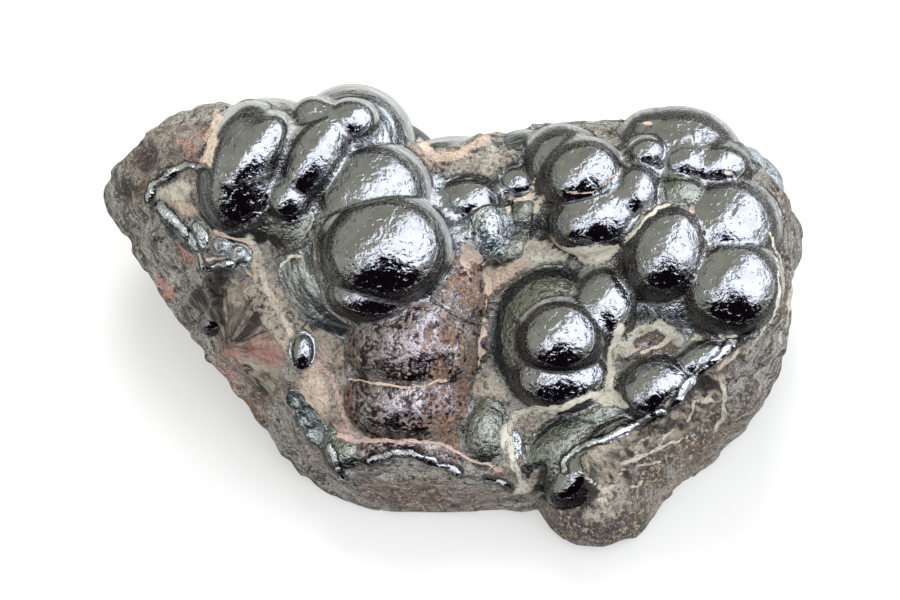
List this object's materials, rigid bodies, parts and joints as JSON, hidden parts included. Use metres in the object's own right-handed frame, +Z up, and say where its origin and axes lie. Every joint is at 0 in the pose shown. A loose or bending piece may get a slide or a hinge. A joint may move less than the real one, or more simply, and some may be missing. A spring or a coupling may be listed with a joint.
{
  "type": "hematite specimen",
  "caption": "Natural lump of botryoidal hematite: glossy overlapping domes on a leaning face, broken fibrous walls, flat base to rest on.",
  "frame": {"origin": "middle of the stone's box, on the flat base that it rests on", "axes": "+Z up from the base, +X along the length to the right as seen from the front, +Y to the back; the domed face looks up and to the front, 30 degrees back from level"},
  "size_m": [0.07, 0.0438, 0.0283],
  "materials": {
    "hematite": "polished steel-black domes with clay in the grooves, dull brown-grey broken walls"
  },
  "bodies": {
    "root": {"hematite_specimen": "hematite"}
  },
  "joints": []
}
